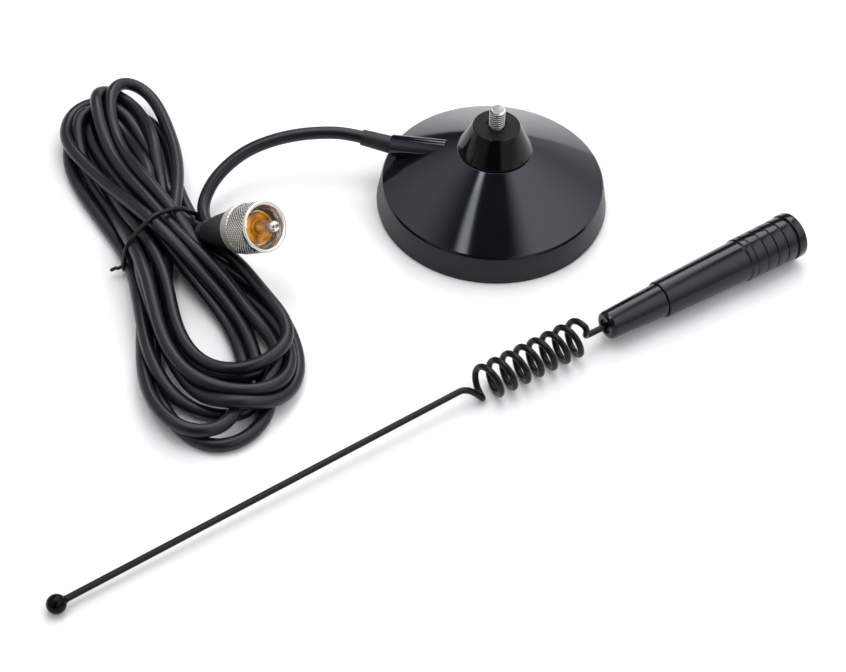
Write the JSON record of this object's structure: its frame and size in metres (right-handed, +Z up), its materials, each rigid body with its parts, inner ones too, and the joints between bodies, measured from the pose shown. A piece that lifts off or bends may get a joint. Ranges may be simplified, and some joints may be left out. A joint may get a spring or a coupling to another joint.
{
  "type": "omnidirectional whip antenna on a magnetic base",
  "caption": "Magnetic-base omnidirectional whip antenna, unscrewed, with its coaxial lead tied in a hank and a screw-on plug.",
  "frame": {"origin": "centre of the rubber pad's underside, on the surface the base stands on", "axes": "+Z up along the mounting stud; +X to the right and +Y to the back as seen from the front, with the lead leaving towards -X"},
  "size_m": [0.2936, 0.2611, 0.0481],
  "materials": {
    "shell": "glossy",
    "pad": "matte",
    "steel": "zinc plated",
    "ferrite": "matte",
    "insulator": "glossy",
    "stud": "nickel plated",
    "fibre": "matte",
    "tinned_brass": "tinned",
    "jacket": "satin",
    "core": "satin",
    "copper": "bare copper",
    "tie": "satin",
    "nickel": "nickel plated",
    "phenolic": "satin",
    "handle": "semi-gloss",
    "brass": "machined",
    "wire": "black, semi-gloss"
  },
  "bodies": {
    "base": {"rubber_pad": "pad", "base_plate": "steel", "plate_screws": "steel", "ring_magnet": "ferrite", "pole_plate": "steel", "base_shell": "shell", "stud_insulator": "insulator", "mounting_stud": "stud", "fibre_washer": "fibre", "solder_tag": "tinned_brass", "stud_nut": "steel", "strain_relief": "pad", "cable_inner": "jacket", "crimp_collar": "nickel", "centre_lead": "core", "braid_pigtail": "copper", "ground_tag": "tinned_brass", "cable_lead": "jacket", "cable_hank": "jacket", "cable_tie": "tie", "cable_tail": "jacket", "plug_boot": "pad", "plug_reducer": "nickel", "plug_body": "nickel", "plug_insulator": "phenolic", "plug_pin": "nickel"},
    "ring": {"coupling_ring": "nickel"},
    "whip": {"handle_body": "handle", "handle_nose": "handle", "threaded_insert": "brass", "coil_former": "core", "loading_coil": "copper", "rod_ferrule": "brass", "nose_seal": "pad", "whip_wire": "wire", "tip_ball": "wire"}
  },
  "joints": [
    {"name": "ring_turn", "type": "hinge", "parent": "base", "child": "ring", "pos_m": [-0.08825, -0.04972, 0.02926], "axis": [0.6436, -0.485, 0.592], "continuous": true},
    {"name": "whip_lift", "type": "slide", "parent": "base", "child": "whip", "axis": [0, 0, 1], "range_m": [0, 0.12]}
  ]
}
